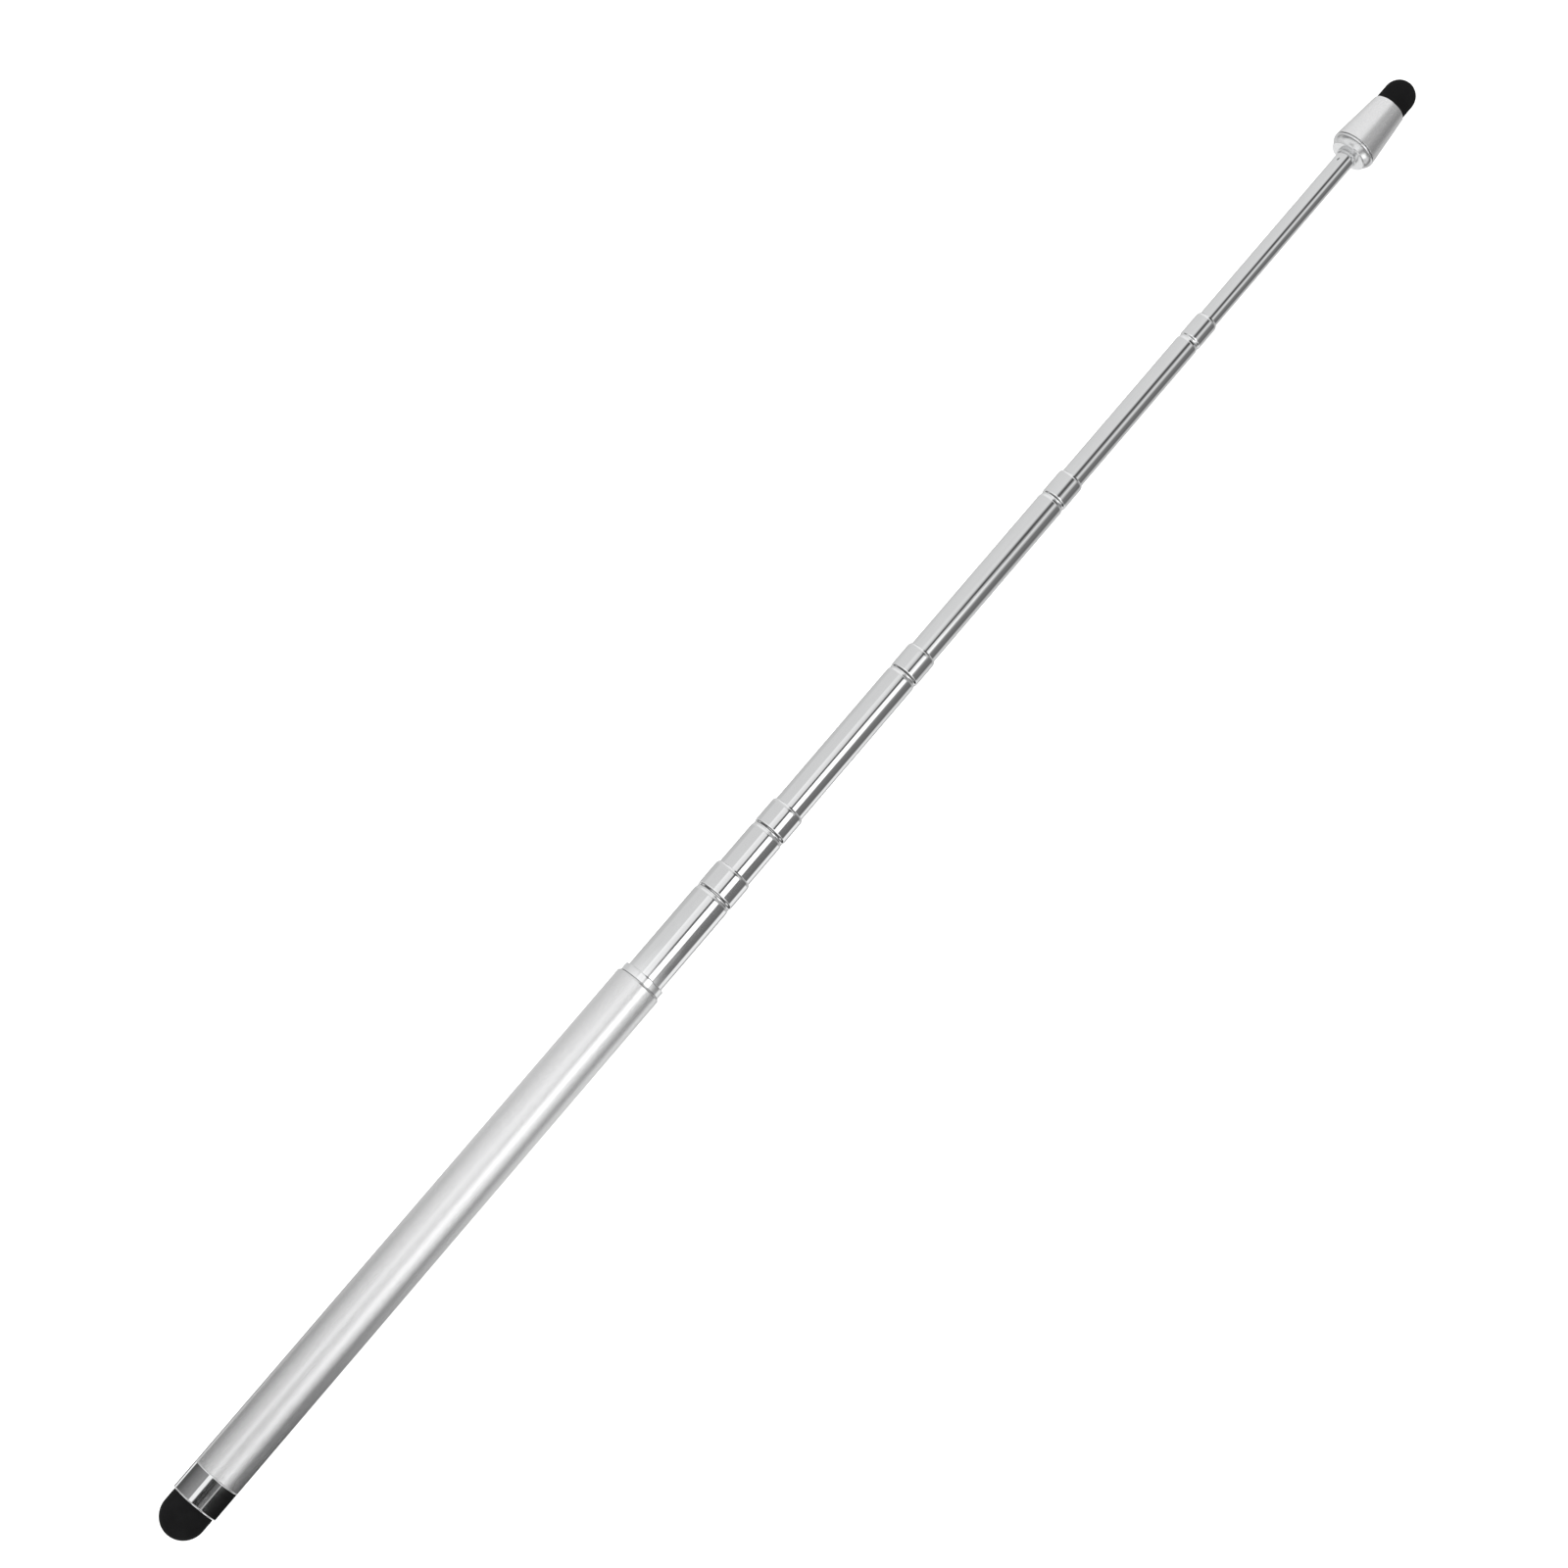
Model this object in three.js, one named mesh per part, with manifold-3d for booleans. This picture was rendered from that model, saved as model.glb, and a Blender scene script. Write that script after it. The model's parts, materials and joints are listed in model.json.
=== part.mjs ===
import * as THREE from "three";
import { mergeVertices } from "three/addons/utils/BufferGeometryUtils.js";
import Module from "manifold-3d";

// A telescoping pointer with a rubber stylus tip at each end, lying on its handle.
// Millimetres. +X runs along the pen from the large tip to the small one and +Z is up.
// The origin is on the surface under the middle of the pen, drawn out as it lies.

// Handle
const barrelDiameter = 10;
const barrelLength = 121.2;
const barrelWall = 0.75;
const barrelRearRound = 0.12;
const barrelMouthRound = 0.3;
const collarExposedLength = 1.85;
const collarEdgeRound = 0.2;
const collarSeatWall = 0.4;

// Large tip
const ferruleLength = 6.3;
const ferruleWall = 0.32;
const ferruleRearRound = 0.1;
const ferruleFrontRound = 0.3;
const largeTipProtrusion = 7.4;
const largeTipSkirtLength = 5;
const largeTipWall = 1;
const largeCoreStemLength = 6;
const largeCoreSpigotLength = 10;

// Drawn tubes, each sliding in the one before it
const sectionReach = 50;
const pushedIn = [23.05, 33.3, 8.3, 2.3, 5.3, 2.6];
const tubeWall = 0.2;
const tubeGap = 0.2;
const grooveSetback = 6.4;
const grooveWidth = 1.6;
const mouthRoundLength = 0.9;
const mouthRoundDrop = 0.3;
const mouthGuideLength = 0.5;
const footFlareLength = 0.8;
const footFlareTaper = 0.2;

// Stop ring and friction spring on the foot of each tube
const stopRingLength = 1.5;
const stopRingChamfer = 0.05;
const springLength = 5;

// Head
const smallTipDiameter = 7;
const smallTipProtrusion = 7.15;
const smallTipSkirtLength = 5;
const smallTipWall = 0.8;
const smallCoreFlangeLength = 1;
const smallCoreStemLength = 6;
const smallCoreStudDiameter = 3;
const smallCoreStudLength = 3.8;
const coneLength = 11.8;
const coneTaper = 1.13;
const coneRimWall = 0.2;
const coneRimRound = 0.15;
const coneBoreStep = 0.2;
const bossRimInset = 0.05;
const bossDiscLength = 0.35;
const bossDiscRound = 0.15;
const bossChamferLength = 1.45;
const bossChamferWidth = 0.87;
const bossChamferCrown = 0.45;
const bossRimLength = 0.15;
const bossNeckLength = 0.25;
const bossNeckDepth = 0.3;
const bossBeadLength = 0.6;
const bossBeadWidth = 0.32;
const bossBeadRound = 0.2;
const bossSpigotLength = 4.5;
const bossSpigotChamfer = 0.2;
const bossTubeSeatDepth = 1.5;
const bossHoleDepth = 4;

// Punch mark that stakes the last tube to the head's spigot
const punchSetback = 2.6;
const punchLength = 0.9;
const punchWidth = 0.32;
const punchDepth = 0.13;
const punchAngle = (26 * Math.PI) / 180;

// Fits, measured on the radius or between two faces
const pressClearance = 0.01;
const runningClearance = 0.02;
const tipClearance = 0.03;
const stemClearance = 0.1;
const endClearance = 0.1;

// Every turned piece has this many flats and measures its diameter across them.
const flatCount = 24;
const flatHalfAngle = Math.PI / flatCount;
const cornerRatio = 1 / Math.cos(flatHalfAngle);
const domeSteps = 6;
const edgeSteps = 2;
const mouthSteps = 3;
const chamferSteps = 3;
const grooveSteps = 4;
const punchRounds = 12;
const punchRings = 8;

// Radii that follow from the sizes above
const barrelRadius = barrelDiameter / 2;
const barrelBore = barrelRadius - barrelWall;
const collarSeatRadius = barrelRadius - collarSeatWall;
const ferruleBore = barrelRadius - ferruleWall;
const largeTipRadius = ferruleBore - tipClearance;
const smallTipRadius = smallTipDiameter / 2;
const coneFrontBore = smallTipRadius + tipClearance;
const coneFrontRadius = coneFrontBore + coneRimWall;
const coneRearRadius = coneFrontRadius + coneTaper;
const coneRearBore = coneFrontBore + coneBoreStep;
const tubeRadii = pushedIn.map((_, index) => barrelBore - tubeGap - index * (tubeWall + tubeGap));
const lastTubeRadius = tubeRadii[tubeRadii.length - 1];

// Places along the pen that follow from the sizes above
const stopDepth = grooveSetback + grooveWidth / 2;
const springStart = footFlareLength + endClearance;
const stopRingStart = springStart + springLength + endClearance;
const footLength = stopRingStart + stopRingLength;
const tubeLength = sectionReach + stopDepth + endClearance + footLength;
const exposed = pushedIn.map((depth) => sectionReach - depth);
const barrelStart = largeTipProtrusion + ferruleLength;
const collarFace = barrelStart + barrelLength + collarExposedLength;
const bossRimStart = bossDiscLength + bossChamferLength;
const coneStart = bossRimStart + bossRimLength + bossNeckLength;
const coneEnd = coneStart + coneLength;
const smallSkirtStart = coneEnd - smallTipSkirtLength;
const headLength = coneEnd + smallTipProtrusion;
const drawnOutLength = exposed.reduce((sum, reach) => sum + reach, 0);
const penLength = collarFace + drawnOutLength + headLength;

const wasm = await Module();
wasm.setup();

// The radius across flats of a piece that turns inside a bore with flats of its own
function turningInside(bore) {
  return (bore - runningClearance) / cornerRatio;
}

// The bore across flats that a piece with flats of its own turns in
function boreAround(radius) {
  return radius * cornerRatio + runningClearance;
}

// A quarter of an ellipse between two [place, radius] points, leaving along the axis or square to it
function quarterRound([fromX, fromRadius], [toX, toRadius], leaves, steps) {
  const points = [];
  for (let step = 0; step <= steps; step += 1) {
    const angle = (step / steps) * (Math.PI / 2);
    const early = Math.sin(angle);
    const late = 1 - Math.cos(angle);
    const alongShare = leaves === "along" ? early : late;
    const acrossShare = leaves === "along" ? late : early;
    points.push([
      fromX + (toX - fromX) * alongShare,
      fromRadius + (toRadius - fromRadius) * acrossShare,
    ]);
  }
  return points;
}

// A rolled groove as a smooth dip in a wall, in order of rising place
function rolledDip(centre, width, radius, depth) {
  const points = [];
  for (let step = 0; step <= grooveSteps; step += 1) {
    const share = step / grooveSteps;
    const dip = (1 - Math.cos(2 * Math.PI * share)) / 2;
    points.push([centre + (share - 0.5) * width, radius - depth * dip]);
  }
  return points;
}

// A chamfer that swells a little between its two ends
function crownedChamfer([fromX, fromRadius], [toX, toRadius], crown) {
  const points = [];
  for (let step = 0; step <= chamferSteps; step += 1) {
    const share = step / chamferSteps;
    const rise = share + crown * share * (1 - share);
    points.push([fromX + (toX - fromX) * share, fromRadius + (toRadius - fromRadius) * rise]);
  }
  return points;
}

// An outline of [place, radius] points turned about the X axis
function turned(outline) {
  const points = outline.map(([place, radius]) => new THREE.Vector2(radius * cornerRatio, place));
  const geometry = new THREE.LatheGeometry(points, flatCount, flatHalfAngle);
  geometry.rotateZ(-Math.PI / 2);
  return geometry;
}

function turnedRing(outline) {
  return turned([...outline, outline[0]]);
}

// A sleeve split open by one missing flat, with the slit on the underside
function splitSleeve(innerRadius, outerRadius, length) {
  const outline = new THREE.Shape();
  const arcPoint = (radius, corner) => {
    const angle = -Math.PI / 2 + (2 * corner + 1) * flatHalfAngle;
    return [radius * cornerRatio * Math.cos(angle), radius * cornerRatio * Math.sin(angle)];
  };
  outline.moveTo(...arcPoint(outerRadius, 0));
  for (let corner = 1; corner < flatCount; corner += 1) {
    outline.lineTo(...arcPoint(outerRadius, corner));
  }
  for (let corner = flatCount - 1; corner >= 0; corner -= 1) {
    outline.lineTo(...arcPoint(innerRadius, corner));
  }
  outline.closePath();
  const geometry = new THREE.ExtrudeGeometry(outline, { depth: length, bevelEnabled: false });
  geometry.rotateX(Math.PI / 2);
  geometry.rotateZ(Math.PI / 2);
  return geometry;
}

function solidFrom(geometry) {
  const bare = geometry.clone();
  bare.deleteAttribute("normal");
  bare.deleteAttribute("uv");
  const merged = mergeVertices(bare);
  const mesh = new wasm.Mesh({
    numProp: 3,
    vertProperties: new Float32Array(merged.attributes.position.array),
    triVerts: new Uint32Array(merged.index.array),
  });
  return new wasm.Manifold(mesh);
}

function geometryFrom(solid) {
  const mesh = solid.getMesh();
  const geometry = new THREE.BufferGeometry();
  geometry.setAttribute("position", new THREE.BufferAttribute(mesh.vertProperties, 3));
  geometry.setIndex(new THREE.BufferAttribute(mesh.triVerts, 1));
  return geometry;
}

function satinSilver() {
  return new THREE.MeshStandardMaterial({ color: 0xc9cacb, roughness: 0.38, metalness: 1 });
}

function polishedChrome() {
  return new THREE.MeshStandardMaterial({ color: 0xdcdedf, roughness: 0.08, metalness: 1 });
}

function blackRubber() {
  return new THREE.MeshStandardMaterial({ color: 0x1a1a1a, roughness: 0.85, metalness: 0 });
}

function springBronze() {
  return new THREE.MeshStandardMaterial({ color: 0xb08748, roughness: 0.35, metalness: 1 });
}

function turnedBrass() {
  return new THREE.MeshStandardMaterial({ color: 0xc3a35a, roughness: 0.3, metalness: 1 });
}

function piece(name, geometry, material, place = 0) {
  const mesh = new THREE.Mesh(geometry, material);
  mesh.name = name;
  mesh.position.x = place;
  return mesh;
}

// The handle tube, with a seat bored in its mouth for the collar
function barrel() {
  const seatStart = barrelLength - (stopDepth - collarExposedLength);
  const outline = [
    [0, barrelBore],
    ...quarterRound(
      [0, barrelRadius - barrelRearRound],
      [barrelRearRound, barrelRadius],
      "across",
      edgeSteps,
    ),
    ...quarterRound(
      [barrelLength - barrelMouthRound, barrelRadius],
      [barrelLength, barrelRadius - barrelMouthRound],
      "along",
      edgeSteps,
    ),
    [barrelLength, collarSeatRadius],
    [seatStart, collarSeatRadius],
    [seatStart, barrelBore],
  ];
  return piece("barrel", turnedRing(outline), satinSilver(), barrelStart);
}

// The chrome bush in the barrel's mouth, which guides the first tube and stops its ring
function mouthCollar() {
  const radius = collarSeatRadius - pressClearance;
  const bore = boreAround(tubeRadii[0]);
  const outline = [
    [0, bore],
    [0, radius],
    ...quarterRound(
      [stopDepth - collarEdgeRound, radius],
      [stopDepth, radius - collarEdgeRound],
      "along",
      edgeSteps,
    ),
    [stopDepth, bore],
  ];
  return piece("mouth_collar", turnedRing(outline), polishedChrome(), collarFace - stopDepth);
}

// The chrome sleeve that grips the large tip's skirt and the flange of its core
function ferrule() {
  const outline = [
    [0, ferruleBore],
    ...quarterRound(
      [0, barrelRadius - ferruleFrontRound],
      [ferruleFrontRound, barrelRadius],
      "across",
      edgeSteps,
    ),
    ...quarterRound(
      [ferruleLength - ferruleRearRound, barrelRadius],
      [ferruleLength, barrelRadius - ferruleRearRound],
      "along",
      edgeSteps,
    ),
    [ferruleLength, ferruleBore],
  ];
  return piece("ferrule", turnedRing(outline), polishedChrome(), largeTipProtrusion);
}

// A hollow rubber dome with a straight skirt, its nose at 0 and its open end forward
function rubberDome(radius, wall, length) {
  const inside = radius - wall;
  return turned([
    ...quarterRound([0, 0], [radius, radius], "across", domeSteps),
    [length, radius],
    [length, inside],
    ...quarterRound([radius, inside], [wall, 0], "along", domeSteps),
  ]);
}

function largeTip() {
  const length = largeTipProtrusion + largeTipSkirtLength;
  return piece("large_tip", rubberDome(largeTipRadius, largeTipWall, length), blackRubber());
}

// The plug that joins the large tip, the ferrule and the barrel
function largeTipCore() {
  const flangeStart = largeTipProtrusion + largeTipSkirtLength;
  const stemStart = flangeStart - largeCoreStemLength;
  const stemRadius = largeTipRadius - largeTipWall - stemClearance;
  const flangeRadius = ferruleBore - pressClearance;
  const spigotRadius = barrelBore - pressClearance;
  const spigotEnd = barrelStart + largeCoreSpigotLength;
  const outline = [
    [stemStart, 0],
    ...quarterRound(
      [stemStart, stemRadius - stemClearance],
      [stemStart + stemClearance, stemRadius],
      "across",
      edgeSteps,
    ),
    [flangeStart, stemRadius],
    [flangeStart, flangeRadius],
    [barrelStart, flangeRadius],
    [barrelStart, spigotRadius],
    [spigotEnd, spigotRadius],
    [spigotEnd, 0],
  ];
  return piece("large_tip_core", turned(outline), turnedBrass());
}

// The bore that a section slides in: the barrel's for the first, the tube's before it for the rest
function outerBore(index) {
  return index === 0 ? barrelBore : tubeRadii[index - 1] - tubeWall;
}

// Stop rings and flared feet share one radius, which clears the bore as they turn in it
function footRadius(index) {
  return turningInside(outerBore(index));
}

function flaredFootOutside(index) {
  return [
    [0, footRadius(index)],
    [footFlareLength - footFlareTaper, footRadius(index)],
    [footFlareLength, tubeRadii[index]],
  ];
}

function flaredFootInside(index) {
  return [
    [footFlareLength, tubeRadii[index] - tubeWall],
    [footFlareLength - footFlareTaper, footRadius(index) - tubeWall],
    [0, footRadius(index) - tubeWall],
  ];
}

// A drawn tube from its flared foot to its mouth, rolled in where it guides the next tube
function guidingTube(index) {
  const radius = tubeRadii[index];
  const bore = radius - tubeWall;
  const guide = boreAround(tubeRadii[index + 1]);
  const grooveDepth = bore - guide;
  const grooveCentre = tubeLength - grooveSetback;
  const outline = [
    ...flaredFootOutside(index),
    ...rolledDip(grooveCentre, grooveWidth, radius, grooveDepth),
    ...quarterRound(
      [tubeLength - mouthRoundLength, radius],
      [tubeLength, radius - mouthRoundDrop],
      "along",
      mouthSteps,
    ),
    [tubeLength, guide],
    [tubeLength - mouthGuideLength, guide],
    [tubeLength - mouthRoundLength, bore],
    ...rolledDip(grooveCentre, grooveWidth, bore, grooveDepth).reverse(),
    ...flaredFootInside(index),
  ];
  return turnedRing(outline);
}

// The thinnest tube runs plain into the head, with the punch mark in its wall
function lastTube(index) {
  const end = tubeLength + bossTubeSeatDepth;
  const bore = lastTubeRadius - tubeWall;
  const plain = turnedRing([
    ...flaredFootOutside(index),
    [end, lastTubeRadius],
    [end, bore],
    ...flaredFootInside(index),
  ]);
  return geometryFrom(solidFrom(plain).subtract(solidFrom(punchMark())));
}

function punchMark() {
  const mark = new THREE.SphereGeometry(1, punchRounds, punchRings);
  mark.scale(punchLength / 2, punchWidth / 2, punchDepth);
  mark.translate(0, 0, lastTubeRadius);
  mark.rotateX(-punchAngle);
  mark.translate(tubeLength - punchSetback, 0, 0);
  return mark;
}

function sectionTube(index) {
  const isLast = index === tubeRadii.length - 1;
  const geometry = isLast ? lastTube(index) : guidingTube(index);
  return piece(`section_tube_${index + 1}`, geometry, polishedChrome());
}

// The ring on a tube's foot that meets the groove of the tube around it
function stopRing(index) {
  const bore = tubeRadii[index] + pressClearance;
  const radius = footRadius(index);
  const outline = [
    [0, bore],
    [0, radius - stopRingChamfer],
    [stopRingChamfer, radius],
    [stopRingLength - stopRingChamfer, radius],
    [stopRingLength, radius - stopRingChamfer],
    [stopRingLength, bore],
  ];
  return piece(`stop_ring_${index + 1}`, turnedRing(outline), turnedBrass(), stopRingStart);
}

// The split sleeve between stop ring and flare, which drags in the tube around it
function frictionSpring(index) {
  const inside = boreAround(tubeRadii[index]);
  const outside = outerBore(index) - runningClearance;
  const geometry = splitSleeve(inside, outside, springLength);
  return piece(`friction_spring_${index + 1}`, geometry, springBronze(), springStart);
}

// The head's rear piece, with a spigot in the last tube, a bead around it and a shank in the cone
function headBoss() {
  const rimRadius = coneRearRadius - bossRimInset;
  const discRadius = rimRadius - bossChamferWidth;
  const seatRadius = lastTubeRadius + pressClearance;
  const beadRadius = seatRadius + bossBeadWidth;
  const spigotRadius = lastTubeRadius - tubeWall - pressClearance;
  const shankRadius = coneRearBore - pressClearance;
  const rimEnd = bossRimStart + bossRimLength;
  const shankEnd = smallSkirtStart - smallCoreFlangeLength;
  const holeRadius = smallCoreStudDiameter / 2 + pressClearance;
  const outline = [
    [-bossSpigotLength, 0],
    [-bossSpigotLength, spigotRadius - bossSpigotChamfer],
    [bossSpigotChamfer - bossSpigotLength, spigotRadius],
    [bossTubeSeatDepth, spigotRadius],
    [bossTubeSeatDepth, seatRadius],
    [-bossBeadLength, seatRadius],
    ...quarterRound(
      [-bossBeadLength, beadRadius - bossBeadRound],
      [bossBeadRound - bossBeadLength, beadRadius],
      "across",
      edgeSteps,
    ),
    [0, beadRadius],
    ...quarterRound(
      [0, discRadius - bossDiscRound],
      [bossDiscRound, discRadius],
      "across",
      edgeSteps,
    ),
    ...crownedChamfer([bossDiscLength, discRadius], [bossRimStart, rimRadius], bossChamferCrown),
    [rimEnd, rimRadius],
    [rimEnd, rimRadius - bossNeckDepth],
    [coneStart, rimRadius - bossNeckDepth],
    [coneStart, shankRadius],
    [shankEnd, shankRadius],
    [shankEnd, holeRadius],
    [shankEnd - bossHoleDepth, holeRadius],
    [shankEnd - bossHoleDepth, 0],
  ];
  return piece("head_boss", turned(outline), polishedChrome());
}

// The satin cone that grips the small tip's skirt
function headCone() {
  const boreStepPlace = smallSkirtStart - smallCoreFlangeLength;
  const outline = [
    [coneStart, coneRearBore],
    ...quarterRound(
      [coneStart, coneRearRadius - coneRimRound],
      [coneStart + coneRimRound, coneRearRadius],
      "across",
      edgeSteps,
    ),
    ...quarterRound(
      [coneEnd - coneRimRound, coneFrontRadius],
      [coneEnd, coneFrontRadius - coneRimRound],
      "along",
      edgeSteps,
    ),
    [coneEnd, coneFrontBore],
    [boreStepPlace, coneFrontBore],
    [boreStepPlace, coneRearBore],
  ];
  return piece("head_cone", turnedRing(outline), satinSilver());
}

function smallTip() {
  const length = smallTipProtrusion + smallTipSkirtLength;
  const geometry = rubberDome(smallTipRadius, smallTipWall, length);
  geometry.rotateZ(Math.PI);
  return piece("small_tip", geometry, blackRubber(), headLength);
}

// The plug inside the small tip, with its stud in the head's rear piece
function smallTipCore() {
  const flangeStart = smallSkirtStart - smallCoreFlangeLength;
  const studStart = flangeStart - smallCoreStudLength;
  const studRadius = smallCoreStudDiameter / 2;
  const flangeRadius = coneFrontBore - pressClearance;
  const stemRadius = smallTipRadius - smallTipWall - stemClearance;
  const stemEnd = smallSkirtStart + smallCoreStemLength;
  const outline = [
    [studStart, 0],
    [studStart, studRadius],
    [flangeStart, studRadius],
    [flangeStart, flangeRadius],
    [smallSkirtStart, flangeRadius],
    [smallSkirtStart, stemRadius],
    ...quarterRound(
      [stemEnd - stemClearance, stemRadius],
      [stemEnd, stemRadius - stemClearance],
      "along",
      edgeSteps,
    ),
    [stemEnd, 0],
  ];
  return piece("small_tip_core", turned(outline), turnedBrass());
}

function head() {
  const group = new THREE.Group();
  group.add(headBoss(), headCone(), smallTip(), smallTipCore());
  group.position.x = tubeLength;
  return group;
}

// A section and all that it carries, its foot at the group's own origin
function section(index) {
  const group = new THREE.Group();
  group.add(sectionTube(index), stopRing(index), frictionSpring(index));
  if (index + 1 < tubeRadii.length) {
    const next = section(index + 1);
    next.position.x = exposed[index + 1];
    group.add(next);
  } else {
    group.add(head());
  }
  return group;
}

function handle() {
  const group = new THREE.Group();
  group.add(barrel(), mouthCollar(), ferrule(), largeTip(), largeTipCore());
  return group;
}

function pen() {
  const group = new THREE.Group();
  const firstSection = section(0);
  firstSection.position.x = collarFace + exposed[0] - tubeLength;
  group.add(handle(), firstSection);
  group.position.set(-penLength / 2, 0, barrelRadius);
  return group;
}

const penGroup = pen();

export default penGroup;
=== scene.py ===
"""A telescoping pointer with a rubber stylus tip at each end: its turned pieces, finishes and studio."""

import json
import math

import bmesh
import bpy
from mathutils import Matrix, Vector

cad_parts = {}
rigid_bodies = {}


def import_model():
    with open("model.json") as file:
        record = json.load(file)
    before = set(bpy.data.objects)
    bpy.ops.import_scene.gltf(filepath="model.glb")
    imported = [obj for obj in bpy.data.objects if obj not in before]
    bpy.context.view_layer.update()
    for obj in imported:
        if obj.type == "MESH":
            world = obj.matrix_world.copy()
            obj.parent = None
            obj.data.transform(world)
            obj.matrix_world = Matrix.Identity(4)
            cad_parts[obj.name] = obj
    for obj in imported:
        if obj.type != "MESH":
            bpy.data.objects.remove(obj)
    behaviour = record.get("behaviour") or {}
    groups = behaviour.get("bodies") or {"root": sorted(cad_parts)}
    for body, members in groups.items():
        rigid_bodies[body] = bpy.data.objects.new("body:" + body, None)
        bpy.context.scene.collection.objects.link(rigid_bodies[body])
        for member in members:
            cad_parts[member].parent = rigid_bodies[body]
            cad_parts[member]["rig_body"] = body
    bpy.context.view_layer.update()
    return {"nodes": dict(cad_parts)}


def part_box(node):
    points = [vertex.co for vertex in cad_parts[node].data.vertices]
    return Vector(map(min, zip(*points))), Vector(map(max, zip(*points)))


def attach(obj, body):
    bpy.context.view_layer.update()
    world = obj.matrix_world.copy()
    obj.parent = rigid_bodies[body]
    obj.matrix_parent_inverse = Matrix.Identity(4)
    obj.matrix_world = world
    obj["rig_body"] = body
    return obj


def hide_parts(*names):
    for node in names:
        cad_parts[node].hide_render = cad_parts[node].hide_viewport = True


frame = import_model()

bl_info = {
    "name": "Telescoping Stylus Pointer",
    "version": (1, 0, 0),
    "blender": (4, 5, 0),
    "location": "3D View > Sidebar > Pointer",
    "description": "Makes the turned pieces, the finishes and the studio of a telescoping stylus pointer",
    "category": "Add Mesh",
}

MM = 0.001

# How finely the pieces are turned
ROUND_SIDES = 96
BEVEL_SEGMENTS = 4
DOME_STEPS = 20
MOUTH_STEPS = 8
GROOVE_STEPS = 14
CHAMFER_STEPS = 6
SMOOTH_ANGLE = math.radians(30)

# A ring beside each corner of a long straight run keeps its shading straight
HOLD = 0.08 * MM
LONG_RUN = 0.7 * MM

# How long a dome's waist is for its depth, and the share of the depth that is reached halfway
WAIST_STRETCH = 8
WAIST_SHARE = 0.35

# The small tip's gap in the cone's bore, and how far its rubber draws in at the cone
SMALL_TIP_GAP = 0.03 * MM
SMALL_TIP_WAIST = 0.03 * MM

# How finely the punch mark is cut, how far out it is worked, and the low ridge round it
PUNCH_CUTS = 5
PUNCH_REACH = 2
RIDGE_SHARE = 0.05
RIDGE_PLACE = 1.3
RIDGE_SPREAD = 0.3

# How much of the room for its wall a friction spring swells by, and the share lost halfway to an end
SPRING_SWELL = 0.25
SWELL_LOSS = 0.25
SPRING_EDGE = 0.02 * MM

# The fine line turned between the head's disc and its chamfer, and how far the chamfer swells
LINE_REACH = 0.06 * MM
LINE_DEPTH = 0.04 * MM
CHAMFER_CROWN = 0.45

# Rings of this radius close to a point, and points this near to each other join
POINT_RADIUS = 0.001 * MM
JOIN_DISTANCE = 0.004 * MM

# The attribute that says how much painted shade a point gets, darkest deep in the punch mark's dent
PAINTED_DENT_SHADE = "dark_film"

TUBE_COUNT = sum(name.startswith("section_tube") for name in frame["nodes"])
AXIS_HEIGHT = (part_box("barrel")[0].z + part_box("barrel")[1].z) / 2


def length(name, description, millimetres):
    return bpy.props.FloatProperty(
        name=name,
        description=description,
        default=millimetres * MM,
        min=0.0,
        precision=5,
        subtype="DISTANCE",
        unit="LENGTH",
    )


def colour(name, description, red, green, blue):
    return bpy.props.FloatVectorProperty(
        name=name,
        description=description,
        default=(red, green, blue),
        min=0.0,
        max=1.0,
        size=3,
        subtype="COLOR",
    )


def share(name, description, value):
    return bpy.props.FloatProperty(
        name=name,
        description=description,
        default=value,
        min=0.0,
        max=1.0,
        subtype="FACTOR",
    )


class HandleSizes(bpy.types.PropertyGroup):
    """Sizes of the handle that the frame doesn't give"""

    barrel_wall: length("Barrel wall", "Thickness of the barrel's wall", 0.75)
    barrel_seat_wall: length("Seat wall", "Wall left round the collar's seat", 0.4)
    barrel_seat_depth: length("Seat depth", "Depth of the collar's seat in the mouth", 5.35)
    barrel_rear_round: length("Rear edge", "Rounding of the barrel's rear edge", 0.12)
    barrel_mouth_round: length("Mouth edge", "Rounding of the barrel's mouth", 0.3)
    collar_round: length("Collar edge", "Rounding of the collar's front edge", 0.2)
    collar_relief: length("Collar relief", "Depth of the fine groove at the barrel's mouth", 0.12)
    relief_length: length("Relief length", "Length of that groove", 0.2)
    ferrule_wall: length("Ferrule wall", "Thickness of the ferrule's wall", 0.32)
    ferrule_rear_round: length("Ferrule rear edge", "Rounding of the edge at the barrel", 0.1)
    ferrule_front_round: length("Ferrule front edge", "Rounding of the edge at the tip", 0.3)
    tip_wall: length("Large tip wall", "Thickness of the large tip's rubber", 1.0)
    tip_waist: length("Large tip waist", "How far the rubber draws in at the ferrule", 0.08)
    stem_length: length("Plug stem", "Length of the plug's stem inside the rubber", 6.0)
    flange_length: length("Plug flange", "Length of the plug's flange inside the ferrule", 1.4)


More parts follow.
